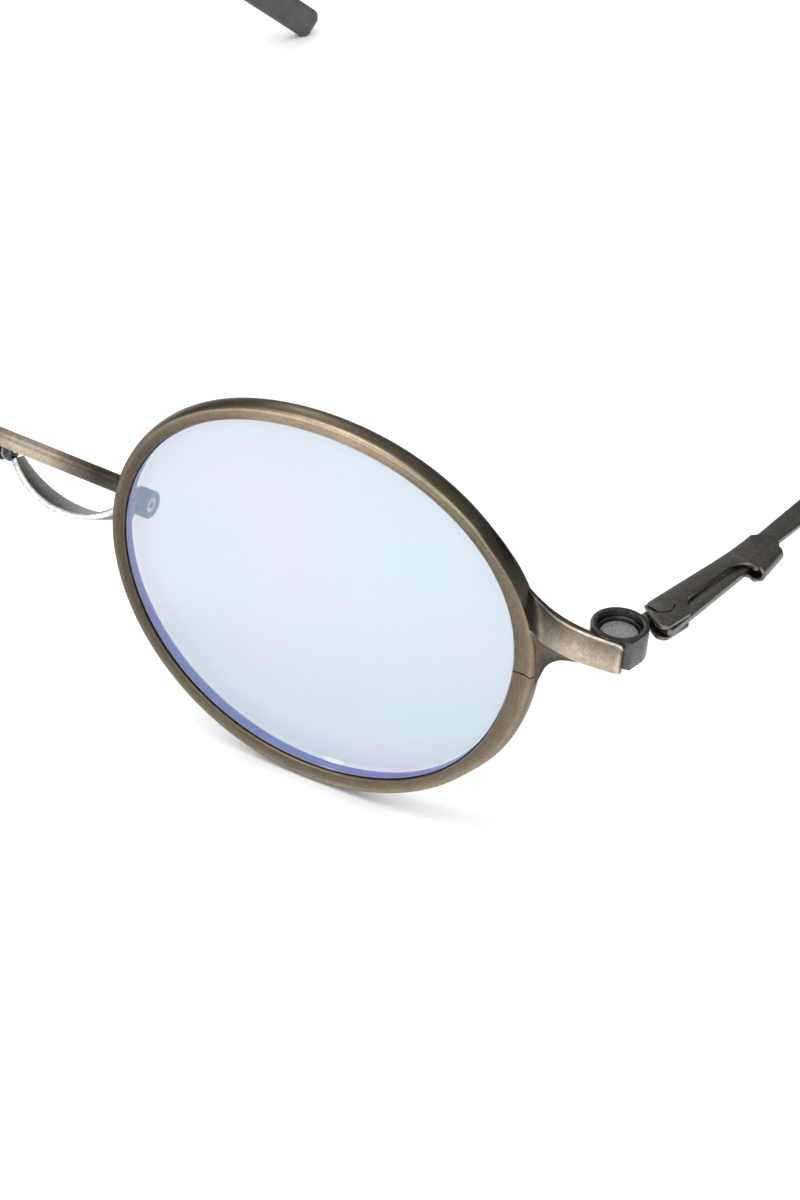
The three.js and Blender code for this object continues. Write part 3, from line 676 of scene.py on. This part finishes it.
def lens_edge_shape(steps=240):
    """The ground edge: a wall just inside the lip with the bevel that sits in the groove behind it."""
    wall = [(-0.1, 0.5), (-0.13, 0.56), (-0.13, 1.4), (-0.1, 1.46)]
    bevel = [(0.05, 1.5), (0.4, 1.25), (0.05, 0.8)]
    angles = [2 * math.pi * i / steps for i in range(steps)]
    rings = [[lens_point(a, d, y) for d, y in wall + bevel] for a in angles]
    return moved(loft(rings, closed=True), lens_plane)


def closer_shapes():
    """The two blocks that the split rim is closed by, and their slotted screw."""
    low, high, front, back = (CLOSER[k] for k in ("low", "high", "front", "back"))
    middle = Vector(((low + high) / 2, (front + back) / 2))
    corners = [(low, front), (high, front), (high, back), (low, back)]
    loops = [corners, circle(CLOSER["hole"], 32, *middle)]
    half = RIM["split"] / 2
    bottom = RIM["split_z"] - half - CLOSER["height"]
    upper = plate(loops, RIM["split_z"] + half, RIM["split_z"] + half + CLOSER["height"], 0.1)
    lower = plate(loops, bottom, bottom + CLOSER["height"], 0.1)
    screw = moved(closing_screw(bottom), Matrix.Translation((*middle, 0)))
    return [moved(shape, lens_plane) for shape in (upper, lower, screw)]


def closing_screw(bottom):
    """A shank and a thin head, with a raised half on each side of its slot."""
    shank_top = RIM["split_z"] + CLOSER["height"] - 0.2
    shank = turned(rounded(CLOSER["shank"], bottom - 0.1, shank_top, 0.05), 32)
    head = turned(rounded(CLOSER["head"], bottom - 0.27, bottom - 0.02, 0.06), 32)
    halves = []
    for side in (1, -1):
        slot = side * CLOSER["slot"]
        loop = outline((slot, -0.5 * side), (slot, 0.5 * side), (0.78 * side, 0, slot, -0.5 * side))
        halves.append(plate([loop], bottom - 0.45, bottom - 0.22, 0.04))
    return joined(shank, head, *halves)


# ---- Magnet cup, with the bore's axis at its origin ----

at_cup = Matrix.Translation((CUP["x"], CUP["y"], 0))


def cup_radius(angle):
    """The housing's outline around the bore: a circle drawn out to the block's two front corners."""
    radius = CUP["radius"]
    for wall in (CUP["side"], CUP["inner"]):
        corner = Vector((wall - CUP["x"], CUP["front"] - CUP["y"]))
        reach = math.acos(radius / corner.length)
        away = abs(math.remainder(angle - math.atan2(corner.y, corner.x), 2 * math.pi))
        if away < reach:
            return radius / math.cos(reach - away)
    return radius


def cup_shape(steps=240, edge=0.14):
    angles = [2 * math.pi * i / steps for i in range(steps)]
    top, bottom = CUP["top"], CUP["bottom"]

    def around(radii, height):
        return [at_cup @ Vector((r * math.cos(a), r * math.sin(a), height)) for a, r in zip(angles, radii)]

    def wall(inset, height):
        return around([cup_radius(a) - inset for a in angles], height)

    def bore(widening, height):
        return around([CUP["bore"] + widening] * steps, height)

    return loft([
        wall(edge, bottom), wall(0.04, bottom + 0.04), wall(0, bottom + edge), wall(0, top - edge),
        wall(0.04, top - 0.04), wall(edge, top), bore(0.1, top), bore(0.03, top - 0.03),
        bore(0, top - 0.1), bore(0, CUP["floor"]),
    ])


def liner_shape():
    outer, low = CUP["bore"] - 0.04, CUP["floor"] + 0.04
    return moved(ring_shape(outer, low, CUP["liner_top"], CUP["liner_bore"], 0.07, 96), at_cup)


def magnet_shape():
    radius, low, top = CUP["magnet"], CUP["floor"] + 0.05, CUP["magnet_top"]
    profile = [(radius, low), (radius, top - 0.12), (radius - 0.05, top - 0.03), (radius - 0.14, top),
               (radius * 0.6, top + 0.01), (radius * 0.3, top)]
    return moved(turned(profile, 96), at_cup)


# ---- Hinge, in a frame turned out by the temple's flare, with the pin at its origin ----

at_hinge = Matrix.Translation((HINGE["x"], HINGE["y"], 0)) @ Matrix.Rotation(-HINGE["flare"], 4, "Z")

CLIP = outline(
    (-0.3, -1.6), (-1.0, -1.3, -1.02, -0.3), (-0.95, 10), (-1.0, 14, -1.3, 16.2), (-0.6, 17.4, 0.3, 17.75),
    (1.3, 17.7, 1.75, 16.9), (2.75, 12.3), (2.78, 11.95, 2.4, 11.95), (1.85, 12.1), (0.75, 11.8, 0.65, 10),
    (0.95, 4.2), (1.0, 2.9, 1.6, 2.2), (2.75, 1.25), (2.93, 1.1, 2.93, 0.85), (2.9, -2.2),
    (2.6, -2.85, 1.8, -2.8), (0.35, -2.1))


def lobe_slot():
    """The slot that frees the round lobe over the pin from the wide nose."""
    turns = [LOBE["from"] + (LOBE["to"] - LOBE["from"]) * i / 30 for i in range(31)]
    path = [(LOBE["outer"], a) for a in turns] + [(LOBE["inner"], a) for a in reversed(turns)]
    return [(r * math.cos(a), r * math.sin(a)) for r, a in path]


def clip_shape():
    top = HINGE["top"]
    under = top - HINGE["plate"] - HINGE["cavity"]
    base = under - HINGE["base"]
    upper = plate([CLIP, lobe_slot()], top - HINGE["plate"], top, 0.1)
    lower = plate([CLIP, circle(HINGE["pin"] + 0.07, 32)], base, under, 0.08)
    return moved(joined(upper, lower, fold_shape(top, base)), at_hinge)


def fold_shape(top, base):
    """The half-round fold that joins the two plates along the clip's outer side."""
    middle, outer = (top + base) / 2, (top - base) / 2
    inner = outer - HINGE["base"]
    turns = [math.pi / 2 - math.pi * i / 20 for i in range(21)]
    start, end = Vector((2.62, 12.3)), Vector((1.62, 16.85))
    rings = []
    for share, shrink in ((0, 0.1), (0.02, 0), (0.98, 0), (1, 0.1)):
        spot = start.lerp(end, share)
        curl = [(outer - shrink, a) for a in turns] + [(inner + shrink, a) for a in reversed(turns)]
        ring = [Vector((spot.x + r * math.cos(a), spot.y, middle + r * math.sin(a))) for r, a in curl]
        rings.append(ring)
    return loft(rings)


def tongue_shape():
    top = HINGE["top"] - HINGE["plate"] - HINGE["play"]
    bottom = HINGE["top"] - HINGE["plate"] - HINGE["cavity"] + HINGE["play"]
    half, end, eye = HINGE["neck"], HINGE["neck_end"], HINGE["eye"]
    opening = math.asin(half / eye)
    turns = [-math.pi / 2 + opening + (2 * math.pi - 2 * opening) * i / 48 for i in range(49)]
    loop = [(eye * math.cos(a), eye * math.sin(a)) for a in turns] + [(-half, end), (half, end)]
    return moved(plate([loop, circle(HINGE["pin"] + 0.08, 32)], bottom, top, 0.06), at_hinge)


def pin_shape():
    ceiling = HINGE["top"] - HINGE["plate"]
    bottom = ceiling - HINGE["cavity"] - HINGE["base"]
    shank = turned(rounded(HINGE["pin"], bottom - 0.2, ceiling - HINGE["play"], 0.06), 48)
    dome = [(0.7, bottom - 0.3), (0.88, bottom - 0.24), (0.95, bottom - 0.14), (0.95, bottom - 0.05)]
    return moved(joined(shank, turned(dome, 48)), at_hinge)


# ---- Temple ----

temple_route = Route(TEMPLE_ROUTE)


def strip_ring(share, section):
    """A section on the temple's line: flat at the hinge, on edge beside the head."""
    turned_share = (share - BAND["twist_from"]) / (BAND["twist_to"] - BAND["twist_from"])
    turn = math.pi / 2 * math.sin(math.pi / 2 * min(max(turned_share, 0), 1))
    centre, ahead = temple_route.at(share), temple_route.ahead(share)
    level = Vector((0, 0, 1)).cross(ahead).normalized()
    upward = ahead.cross(level)
    wide = -math.cos(turn) * level - math.sin(turn) * upward
    thin = ahead.cross(wide)
    return [centre + wide * w + thin * t for w, t in section]


def band_shape(steps=220):
    rings = []
    for i in range(steps + 1):
        share = BAND["end"] * i / steps
        width = BAND["width"] + (BAND["ear_width"] - BAND["width"]) * share
        rings.append(strip_ring(share, rounded_box(width, BAND["thickness"], BAND["corner"])))
    return joined(loft(rings), moved(prong_shape(), at_hinge))


def prong_shape():
    """The narrow front of the strip, beside the pin and between the plates."""
    def edge(y):
        return BAND["front"] - BAND["drift"] * y

    middle = HINGE["top"] - HINGE["plate"] - HINGE["cavity"] / 2
    loop = outline((edge(-2) - 0.35, -2.2), (edge(-2), -1.8), (edge(13), 13), (edge(13) - 1.4, 13),
                   (edge(10.5) - 1.35, 10.5), (1.32, 4), (1.45, -1.6), (1.75, -2.2))
    return plate([loop], middle - BAND["thickness"] / 2, middle + BAND["thickness"] / 2, 0.12)


def tip_shape(steps=90):
    """The sleeve: it swells from a narrow mouth and ends rounded."""
    rings = []
    for i in range(steps + 1):
        part = i / steps
        share = TIP["start"] + (1 - TIP["start"]) * part
        mouth = TIP["mouth"] + (1 - TIP["mouth"]) * math.sin(min(part * TIP["mouth_reach"], math.pi / 2))
        past = max(0, (part - TIP["round_from"]) / (1 - TIP["round_from"]))
        size = mouth * math.sqrt(max(TIP["round_least"], 1 - past ** 2))
        section = rounded_box(TIP["height"] * size, TIP["thickness"] * size, TIP["corner"] * size, 6)
        rings.append(strip_ring(share, section))
    return loft(rings)


# ---- Nose saddle and its fastenings ----

saddle_up = Vector((0, math.sin(SADDLE["tilt"]), math.cos(SADDLE["tilt"])))
saddle_back = Vector((0, math.cos(SADDLE["tilt"]), -math.sin(SADDLE["tilt"])))
saddle_base = Vector((0, SADDLE["y"], SADDLE["z"]))
barrel_centre = saddle_base + saddle_up * SADDLE["eye_height"]
at_barrel = Matrix.Translation(barrel_centre) @ Matrix.Rotation(math.pi / 2, 4, "Y")


def saddle_point(angle, across, lift):
    radius = SADDLE["radius"] - lift
    x = radius * math.sin(angle) * (1 + SADDLE["flare"] * across)
    rise = SADDLE["radius"] - radius * math.cos(angle)
    return saddle_base + Vector((x, 0, 0)) + saddle_up * rise + saddle_back * across


def saddle_shape(steps=72):
    """The sprung strip and its eyes, with each point's share across the strip."""
    rings = []
    shares = []
    thickness = SADDLE["thickness"]
    for i in range(steps + 1):
        angle = SADDLE["half_angle"] * (2 * i / steps - 1)
        share = abs(angle) / SADDLE["half_angle"]
        width = SADDLE["width"] + (SADDLE["end_width"] - SADDLE["width"]) * share ** 2
        section = rounded_box(width, thickness, 0.14, 3)
        rings.append([saddle_point(angle, w + width / 2, t + thickness / 2) for w, t in section])
        shares += [(w / width + 0.5, 0) for w, t in section]
    gap = BARREL["inner"] - BARREL["washer"] - 0.12
    eye = ring_shape(SADDLE["eye"], SADDLE["eye_x"], gap, SADDLE["eye_bore"], 0.1, 48)
    mirror = Matrix.Scale(-1, 4, (1, 0, 0))
    eyes = [moved(eye, at_barrel), moved(eye, mirror @ at_barrel)]
    shape = joined(loft(rings), *eyes)
    shares += [(0.5, 0)] * (len(shape[0]) - len(shares))
    return shape, {"patina": shares}


def fastening_shapes():
    """The barrel, washer, socket screw and post on one side."""
    inner, outer = BARREL["inner"], BARREL["outer"]
    head = outer - BARREL["head"]
    barrel = ring_shape(BARREL["radius"], inner, outer, BARREL["bore"], 0.12, 64)
    sleeve = ring_shape(BARREL["sleeve"], inner + 0.05, head - 0.05, BARREL["sleeve_bore"], 0.04, 48)
    washer = ring_shape(BARREL["washer_radius"], inner - BARREL["washer"], inner - 0.05,
                        BARREL["washer_bore"], 0.06, 48)
    shank = turned(rounded(BARREL["shank"], SADDLE["eye_x"] - 0.1, head + 0.2, 0.05), 32)
    socket = [circle(BARREL["head_radius"], 48), circle(BARREL["socket"], 6)]
    cap = plate(socket, head + 0.15, outer - 0.12, 0.06)
    foot = turned(rounded(BARREL["head_radius"], head, head + 0.2, 0.03), 48)
    shapes = [moved(s, at_barrel) for s in (joined(barrel, sleeve), washer, joined(shank, cap, foot))]
    return shapes + [post_shape()]


def post_shape():
    """The rod from the rim to the barrel, a little wider at both ends."""
    start = Vector((*POST["rim_end"], barrel_centre.z))
    end = Vector((POST["barrel_x"], barrel_centre.y - BARREL["radius"] + 0.12, barrel_centre.z))
    turn = Vector((0, 0, 1)).rotation_difference(end - start).to_matrix().to_4x4()
    length = (end - start).length
    radius, flare = POST["radius"], POST["flare"]
    half = [(radius + flare, 0), (radius + flare / 2, 0.2), (radius, 0.5)]
    rod = turned(half + [(r, length - reach) for r, reach in reversed(half)])
    return moved(rod, Matrix.Translation(start) @ turn)


def bridge_shape():
    """A straight bar that ends inside the rims, with each point's share of the way out."""
    end, steps = BRIDGE["end"], 6
    stations = [(BRIDGE["radius"], end * step / steps) for step in range(-steps, steps + 1)]
    at_bridge = Matrix.Translation((0, BRIDGE["y"], BRIDGE["z"])) @ Matrix.Rotation(math.pi / 2, 4, "Y")
    shape = moved(turned(stations), at_bridge)
    return shape, {"patina": [(0, abs(point.x) / end) for point in shape[0]]}


# ---- Assembly ----


def add_rim(side, sign):
    """The rim's three pieces, which together stand for one CAD node."""
    looks = (("rim", rim_shape(), RIM_METAL, 50, 0), ("end_piece", arm_shape(), ARM_METAL, 40, 0.2),
             ("gusset", gusset_shape(), GUSSET_METAL, 40, 0))
    for name, (shape, layers), material, sharp, soften in looks:
        add_piece(f"fine_{side}_{name}", shape, material, "front", [f"{side}_rim"], sign, sharp,
                  soften=soften, layers=layers)


def add_lens(side, sign):
    """The glass, which casts no shadow because it is nearly clear, and its ground edge."""
    nodes, slot = [f"{side}_lens"], "tinted_lens"
    glass = add_piece(f"fine_{side}_lens", lens_shape(), LENS_GLASS, "front", nodes, sign, 40)
    glass.visible_shadow = False
    add_piece(f"fine_{side}_lens_edge", lens_edge_shape(), LENS_EDGE, "front", nodes, sign, 50)


def add_small_pieces(side, sign):
    """The pieces that stand for one CAD node each, named after it."""
    temple = f"{side}_temple"
    upper, lower, screw = closer_shapes()
    barrel, washer, saddle_screw, post = fastening_shapes()
    pieces = (
        ("closing_block_upper", upper, PEWTER, "pewter", "front"),
        ("closing_block_lower", lower, PEWTER, "pewter", "front"),
        ("closing_screw", screw, STEEL, "bright_steel", "front"),
        ("magnet_cup", cup_shape(), CUP_METAL, "gunmetal", "front"),
        ("cup_liner", liner_shape(), CUP_METAL, "gunmetal", "front"),
        ("cup_magnet", magnet_shape(), MAGNET, "magnet_steel", "front"),
        ("hinge_tongue", tongue_shape(), GUNMETAL, "gunmetal", "front"),
        ("saddle_barrel", barrel, BARREL_METAL, "gunmetal", "front"),
        ("saddle_washer", washer, STEEL, "bright_steel", "front"),
        ("saddle_screw", saddle_screw, STEEL, "bright_steel", "front"),
        ("saddle_post", post, PEWTER, "pewter", "front"),
        ("hinge_clip", clip_shape(), GUNMETAL, "gunmetal", temple),
        ("hinge_pin", pin_shape(), GUNMETAL, "gunmetal", temple),
        ("temple_band", band_shape(), GUNMETAL, "gunmetal", temple),
        ("temple_tip", tip_shape(), TIP_SLEEVE, "temple_tip", temple),
    )
    for name, shape, material, slot, body in pieces:
        add_piece(f"fine_{side}_{name}", shape, material, body, [f"{side}_{name}"], sign)


def add_middle():
    bridge, bridge_layers = bridge_shape()
    add_piece("fine_bridge_bar", bridge, BRIDGE_METAL, "front", ["bridge_bar"], layers=bridge_layers)
    saddle, saddle_layers = saddle_shape()
    add_piece("fine_nose_saddle", saddle, SADDLE_STEEL, "front", ["nose_saddle"],
              layers=saddle_layers)


for side, sign in SIDES.items():
    add_rim(side, sign)
    add_lens(side, sign)
    add_small_pieces(side, sign)
add_middle()

# ---- Studio ----


def add_floor(size=4.0):
    mesh = bpy.data.meshes.new("floor")
    half = size / 2
    corners = [(-half, -half, 0), (half, -half, 0), (half, half, 0), (-half, half, 0)]
    mesh.from_pydata(corners, [], [(0, 1, 2, 3)])
    finish = Finish("pale_floor", Roughness=0.75)
    finish.shader.inputs["Specular IOR Level"].default_value = 0.15
    tone = finish.noise(finish.place((0.004, 0.004, 0.004)))
    finish.shade("Base Color", finish.ramp(tone, (0.2, (0.93, 0.93, 0.93)), (0.8, (0.95, 0.95, 0.95))))
    mesh.materials.append(finish.material)
    floor = bpy.data.objects.new("floor", mesh)
    bpy.context.scene.collection.objects.link(floor)


def add_light(name, place_at, aim, width, power, mirrored=True):
    data = bpy.data.lights.new(name, "AREA")
    data.shape = "SQUARE"
    data.size = width
    data.energy = power
    light = bpy.data.objects.new(name, data)
    light.location = place_at
    light.rotation_euler = (Vector(aim) - Vector(place_at)).to_track_quat("-Z", "Y").to_euler()
    light.visible_glossy = mirrored
    bpy.context.scene.collection.objects.link(light)


def add_world():
    """A dim grey room, palest about halfway up."""
    world = bpy.data.worlds.new("studio")
    world.use_nodes = True
    tree = world.node_tree
    where = tree.nodes.new("ShaderNodeTexCoord")
    split = tree.nodes.new("ShaderNodeSeparateXYZ")
    ramp = tree.nodes.new("ShaderNodeValToRGB")
    tree.links.new(where.outputs["Generated"], split.inputs["Vector"])
    tree.links.new(split.outputs["Z"], ramp.inputs["Fac"])
    elements = ramp.color_ramp.elements
    elements.new(0.35)
    elements.new(0.7)
    for element, (position, tone) in zip(elements, ((0.0, 0.22), (0.3, 0.12), (0.6, 0.4), (1.0, 0.15))):
        element.position = position
        element.color = (tone, tone, tone, 1)
    background = tree.nodes["Background"]
    tree.links.new(ramp.outputs["Color"], background.inputs["Color"])
    background.inputs["Strength"].default_value = 1.0
    bpy.context.scene.world = world


def add_camera():
    """The camera looks down on the left lens from ahead of the wearer's left side, rolled a little."""
    azimuth, elevation, roll = CAMERA["azimuth"], CAMERA["elevation"], CAMERA["roll"]
    flat = math.cos(elevation)
    back = Vector((math.sin(azimuth) * flat, -math.cos(azimuth) * flat, math.sin(elevation)))
    level = Vector((math.cos(azimuth), math.sin(azimuth), 0))
    upright = back.cross(level)
    right = math.cos(roll) * level + math.sin(roll) * upright
    up = back.cross(right)
    data = bpy.data.cameras.new("camera")
    data.lens = CAMERA["lens"]
    data.sensor_width = CAMERA["sensor"]
    data.dof.use_dof = False
    data.clip_start = 0.01
    camera = bpy.data.objects.new("camera", data)
    camera.matrix_world = Matrix((right, up, back)).transposed().to_4x4()
    camera.location = place(CAMERA["place"], 1)
    bpy.context.scene.collection.objects.link(camera)
    bpy.context.scene.camera = camera


add_floor()
add_world()
add_light("overhead", (-0.15, 0.1, 1.0), (0, 0, 0), 3.0, 27, mirrored=False)
add_light("ridge_window", (-0.14, -0.35, 0.85), (0, 0, 0), 0.5, 3)
add_light("front_window", (0.5, -0.9, 0.5), (0, 0, 0.02), 0.5, 3)
add_light("low_window", (-0.42, -1.0, 0.26), (0, 0, 0.02), 0.35, 1.6)
add_light("back_strip", (-0.6, 0.75, 0.75), (0.03, -0.07, 0.03), 0.12, 0.7)
bpy.context.scene.view_settings.view_transform = "Standard"
add_camera()
